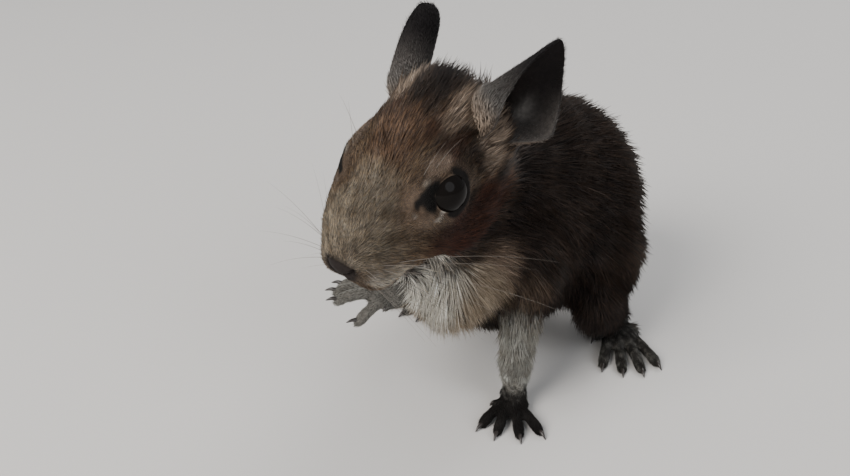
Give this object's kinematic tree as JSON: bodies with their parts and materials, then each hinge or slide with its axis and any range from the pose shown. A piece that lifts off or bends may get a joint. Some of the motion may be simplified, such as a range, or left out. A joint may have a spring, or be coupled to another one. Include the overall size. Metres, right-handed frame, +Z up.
{
  "type": "degu figure",
  "caption": "Life-size still model of a young degu, crouched on its hind feet with one forefoot down, one forepaw raised and the tail laid out behind.",
  "frame": {"origin": "on the floor, under the middle of the whole animal's box", "axes": "+Z up, -Y the way its body faces, +X its left side"},
  "size_m": [0.0736, 0.1882, 0.0825],
  "materials": {
    "coat": "short dense agouti fur",
    "pale_coat": "short paler fur",
    "ear_skin": "thin dark skin with fine hairs",
    "foot_skin": "grey skin with short hair and dark claws",
    "tail_coat": "dark bristly tail hair",
    "eye": "black, wet gloss"
  },
  "bodies": {
    "root": {"ear_left": "ear_skin", "ear_right": "ear_skin", "eye_left": "eye", "eye_right": "eye", "forefoot_left": "foot_skin", "forefoot_right": "foot_skin", "foreleg_left": "pale_coat", "foreleg_right": "pale_coat", "head": "coat", "hindfoot_left": "foot_skin", "hindfoot_right": "foot_skin", "hindleg_left": "pale_coat", "hindleg_right": "pale_coat", "neck": "coat", "tail_1": "tail_coat", "tail_2": "tail_coat", "tail_3": "tail_coat", "tail_tuft": "tail_coat", "torso": "coat"}
  },
  "joints": []
}
